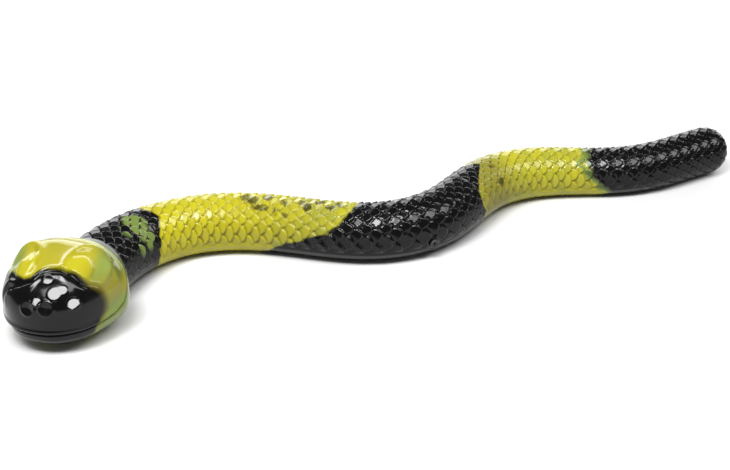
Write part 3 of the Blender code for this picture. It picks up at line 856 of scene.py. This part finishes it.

# %% [markdown]
# ## Glossy marbled plastic
#
# The real plastic is coloured right through and polished by its mould. An image wrapped round
# the body would smear at the snout, so the colours are mixed from the paint numbers in the
# surface: black over yellow, with green and olive in the thin places, painted shade in the
# grooves and a painted grey highlight on the tops of the black scales. A little fine noise varies
# the tint and the polish so that the gloss isn't perfect, as on a moulding that has been handled.

# %% Short names for shader nodes
class Nodes:
    """A new material, and short names for adding and joining its shader nodes."""

    def __init__(self, name):
        self.material = bpy.data.materials.new(name)
        self.material.use_nodes = True
        self.tree = self.material.node_tree
        self.surface = self.tree.nodes["Principled BSDF"]

    def add(self, kind, **settings):
        """A node with its settings."""
        node = self.tree.nodes.new(kind)
        for key, value in settings.items():
            setattr(node, key, value)
        return node

    def feed(self, socket, value):
        """Give an input a number or a colour, or a link from another node's output."""
        if isinstance(value, bpy.types.NodeSocket):
            self.tree.links.new(value, socket)
        else:
            socket.default_value = value

    def set_surface(self, **values):
        """Feed the surface's inputs; an underscore in a name stands for a space."""
        for name, value in values.items():
            self.feed(self.surface.inputs[name.replace("_", " ")], value)

    def math(self, operation, first, second):
        """A maths node on two values or sockets."""
        node = self.add("ShaderNodeMath", operation=operation)
        self.feed(node.inputs[0], first)
        self.feed(node.inputs[1], second)
        return node.outputs[0]

    def between(self, value, low, high):
        """low where value is 0, and high where it is 1."""
        return self.math("ADD", self.math("MULTIPLY", value, high - low), low)

    def ramp(self, value, from_low, from_high, to_low, to_high):
        """to_low up to from_low, to_high past from_high, and a straight line between."""
        node = self.add("ShaderNodeMapRange", clamp=True)
        for socket, number in zip(node.inputs, (value, from_low, from_high, to_low, to_high)):
            self.feed(socket, number)
        return node.outputs[0]

    def noise(self, scale, detail=3.0, stretch=(1.0, 1.0, 1.0)):
        """Noise in object space, squeezed along each axis by its stretch."""
        place = self.add("ShaderNodeTexCoord")
        mapping = self.add("ShaderNodeMapping")
        node = self.add("ShaderNodeTexNoise")
        self.feed(mapping.inputs["Vector"], place.outputs["Object"])
        self.feed(mapping.inputs["Scale"], stretch)
        self.feed(node.inputs["Vector"], mapping.outputs[0])
        self.feed(node.inputs["Scale"], scale)
        self.feed(node.inputs["Detail"], detail)
        return node.outputs[0]

    def mix(self, amount, first, second):
        """Blend two colours."""
        node = self.add("ShaderNodeMix", data_type="RGBA")
        sockets = [s for s in node.inputs if s.enabled]
        for socket, value in zip(sockets, (amount, first, second)):
            self.feed(socket, value)
        return [s for s in node.outputs if s.enabled][0]

    def bump(self, height, strength, distance):
        """Fine relief that only the shading shows."""
        node = self.add("ShaderNodeBump")
        self.feed(node.inputs["Strength"], strength)
        self.feed(node.inputs["Distance"], distance)
        self.feed(node.inputs["Height"], height)
        self.feed(self.surface.inputs["Normal"], node.outputs[0])


# %% Marbled material
YELLOW = (0.385, 0.345, 0.010, 1.0)
SHADED_YELLOW = (0.325, 0.315, 0.013, 1.0)
OLIVE = (0.20, 0.165, 0.016, 1.0)
GREEN = (0.14, 0.20, 0.045, 1.0)
# painted shade: the yellow turns darker and browner down in the grooves between the scales
GROOVE_SHADE = (0.16, 0.13, 0.006, 1.0)
BLACK = (0.0015, 0.0015, 0.0018, 1.0)
RIM_HIGHLIGHT = (0.10, 0.10, 0.105, 1.0)          # painted highlight: pale grey on the tops of the black scales


def marbled(name):
    """Black and yellow glossy plastic, coloured by the paint numbers."""
    nodes = Nodes(name)
    paint = nodes.add("ShaderNodeAttribute", attribute_name="paint")
    split = nodes.add("ShaderNodeSeparateColor")
    nodes.feed(split.inputs[0], paint.outputs["Color"])
    black, green, olive = split.outputs
    height = paint.outputs["Alpha"]
    yellow = nodes.mix(nodes.math("MULTIPLY", nodes.noise(180.0), 0.45), YELLOW, SHADED_YELLOW)
    light = nodes.mix(green, nodes.mix(olive, yellow, OLIVE), GREEN)
    # painted shade: the lower a point stands on its scale, the more of the groove shade it gets
    light = nodes.mix(nodes.ramp(height, 0.10, 0.60, 0.55, 0.0), light, GROOVE_SHADE)
    # painted highlight: the black turns pale grey on the highest parts of its scales
    dark = nodes.mix(nodes.ramp(height, 0.84, 0.96, 0.0, 0.8), BLACK, RIM_HIGHLIGHT)
    nodes.set_surface(Base_Color=nodes.mix(black, light, dark),
                      Roughness=nodes.between(nodes.noise(45.0, detail=4.0), 0.10, 0.20),
                      IOR=1.5, Specular_IOR_Level=0.28)
    nodes.bump(nodes.noise(260.0), strength=0.06, distance=0.0004)
    return nodes.material


# %% Hand the mouldings to the working model
marble = marbled("marbled_gloss_plastic")
for piece, node, body_name, slot in ((neck, "neck_shell", "neck", "neck_moulding"),
                                     (body, "body_shell", "body", "body_moulding"),
                                     (tail, "tail_shell", "tail", "tail_moulding"),
                                     (head, "head_shell", "head", "head_moulding")):
    piece.data.materials.append(marble)
    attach(piece, body_name)
    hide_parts(node)

# %% [markdown]
# ## The pieces inside, and the vent
#
# Each joint is held by a shoulder bolt with a spring under its head: a nylon cup and a nylon
# plug press into the mouldings, and the spring keeps the two end faces lightly together so a
# twist stays where it's put. They keep the working model's shapes and get their own finish.
# The vent is a small turned ring with an open middle, so it's drawn again as a smooth profile
# turned about the line that points out of the body.

# %% Nylon and steel
def darker(colour, share):
    """The colour with its red, green and blue cut to a share."""
    return tuple(share * value for value in colour[:3]) + (1.0,)


def moulded_nylon(name, colour, cloud_size):
    """Satin nylon: a faint cloud in the tint and an even fine grain."""
    nodes = Nodes(name)
    cloud, polish = nodes.noise(cloud_size, detail=4.0), nodes.noise(3 * cloud_size)
    nodes.set_surface(Base_Color=nodes.mix(cloud, darker(colour, 0.78), colour),
                      Roughness=nodes.between(polish, 0.34, 0.54), IOR=1.53)
    nodes.bump(nodes.noise(2600.0), strength=0.15, distance=0.0002)
    return nodes.material


def plated_steel(name, colour, grain, smoothest):
    """Plated or drawn steel: fine lines along the turning direction, and cloudy polish."""
    nodes = Nodes(name)
    lines = nodes.noise(grain, detail=2.0, stretch=(1.0, 1.0, 14.0))
    nodes.set_surface(Base_Color=nodes.mix(nodes.noise(300.0), darker(colour, 0.70), colour),
                      Roughness=nodes.between(lines, smoothest, smoothest + 0.22), Metallic=1.0)
    nodes.bump(lines, strength=0.20, distance=0.0001)
    return nodes.material


# %% Finishes of the joint pieces
finishes = {"cap": moulded_nylon("natural_nylon", (0.74, 0.72, 0.64, 1.0), 160.0),
            "boss": moulded_nylon("black_nylon", (0.030, 0.030, 0.032, 1.0), 160.0),
            "bolt": plated_steel("zinc_bolt", (0.62, 0.62, 0.60, 1.0), 700.0, 0.18),
            "washer": plated_steel("zinc_washer", (0.66, 0.65, 0.60, 1.0), 500.0, 0.26),
            "spring": plated_steel("spring_wire", (0.46, 0.46, 0.48, 1.0), 1500.0, 0.14)}
JOINTS = ("head_joint", "neck_joint", "tail_joint")
for joint in JOINTS:
    for ending, material in finishes.items():
        for slot in frame["nodes"][f"{joint}_{ending}"].material_slots:
            slot.material = material
print("finished", len(finishes) * len(JOINTS), "joint pieces")

# %% Vent ring
# (radius, height above the skin) in mm: down the inside, over the lip and back under it
VENT_PROFILE = ((1.0, -3.9), (1.0, -0.2), (1.1, 0.1), (1.35, 0.25), (1.7, 0.15), (1.9, -0.10),
                (2.1, 0.10), (2.4, 0.55), (2.75, 0.62), (2.95, 0.50), (3.05, 0.15), (3.05, -0.75),
                (1.9, -0.80), (1.9, -3.9))
VENT_AROUND = 64
vent_s = line_s[np.argmin(np.linalg.norm(centre(line_s) - vent_place, axis=-1))]
vent_s = np.array(vent_s)
vent_middle, vent_along = centre(vent_s), forward(vent_s)
vent_out = vent_place - vent_middle
vent_out = vent_out - vent_along * (vent_out @ vent_along)
vent_out = vent_out / np.linalg.norm(vent_out)
vent_seat = vent_middle + vent_out * girth(vent_s)
profile = np.array(VENT_PROFILE) / 1000
spin = np.linspace(0.0, 2 * np.pi, VENT_AROUND, endpoint=False)[:, None]
spoke = vent_along * np.cos(spin) + np.cross(vent_out, vent_along) * np.sin(spin)
vent_points = vent_seat + profile[:, :1, None] * spoke[None] + profile[:, 1:, None] * vent_out
vent = grid_object("vent_ring", vent_points, np.zeros(vent_points.shape[:2] + (4,)))
vent.data.materials.append(moulded_nylon("vent_plastic", (0.022, 0.022, 0.023, 1.0), 220.0))
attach(vent, "body")
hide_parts("vent_plug")
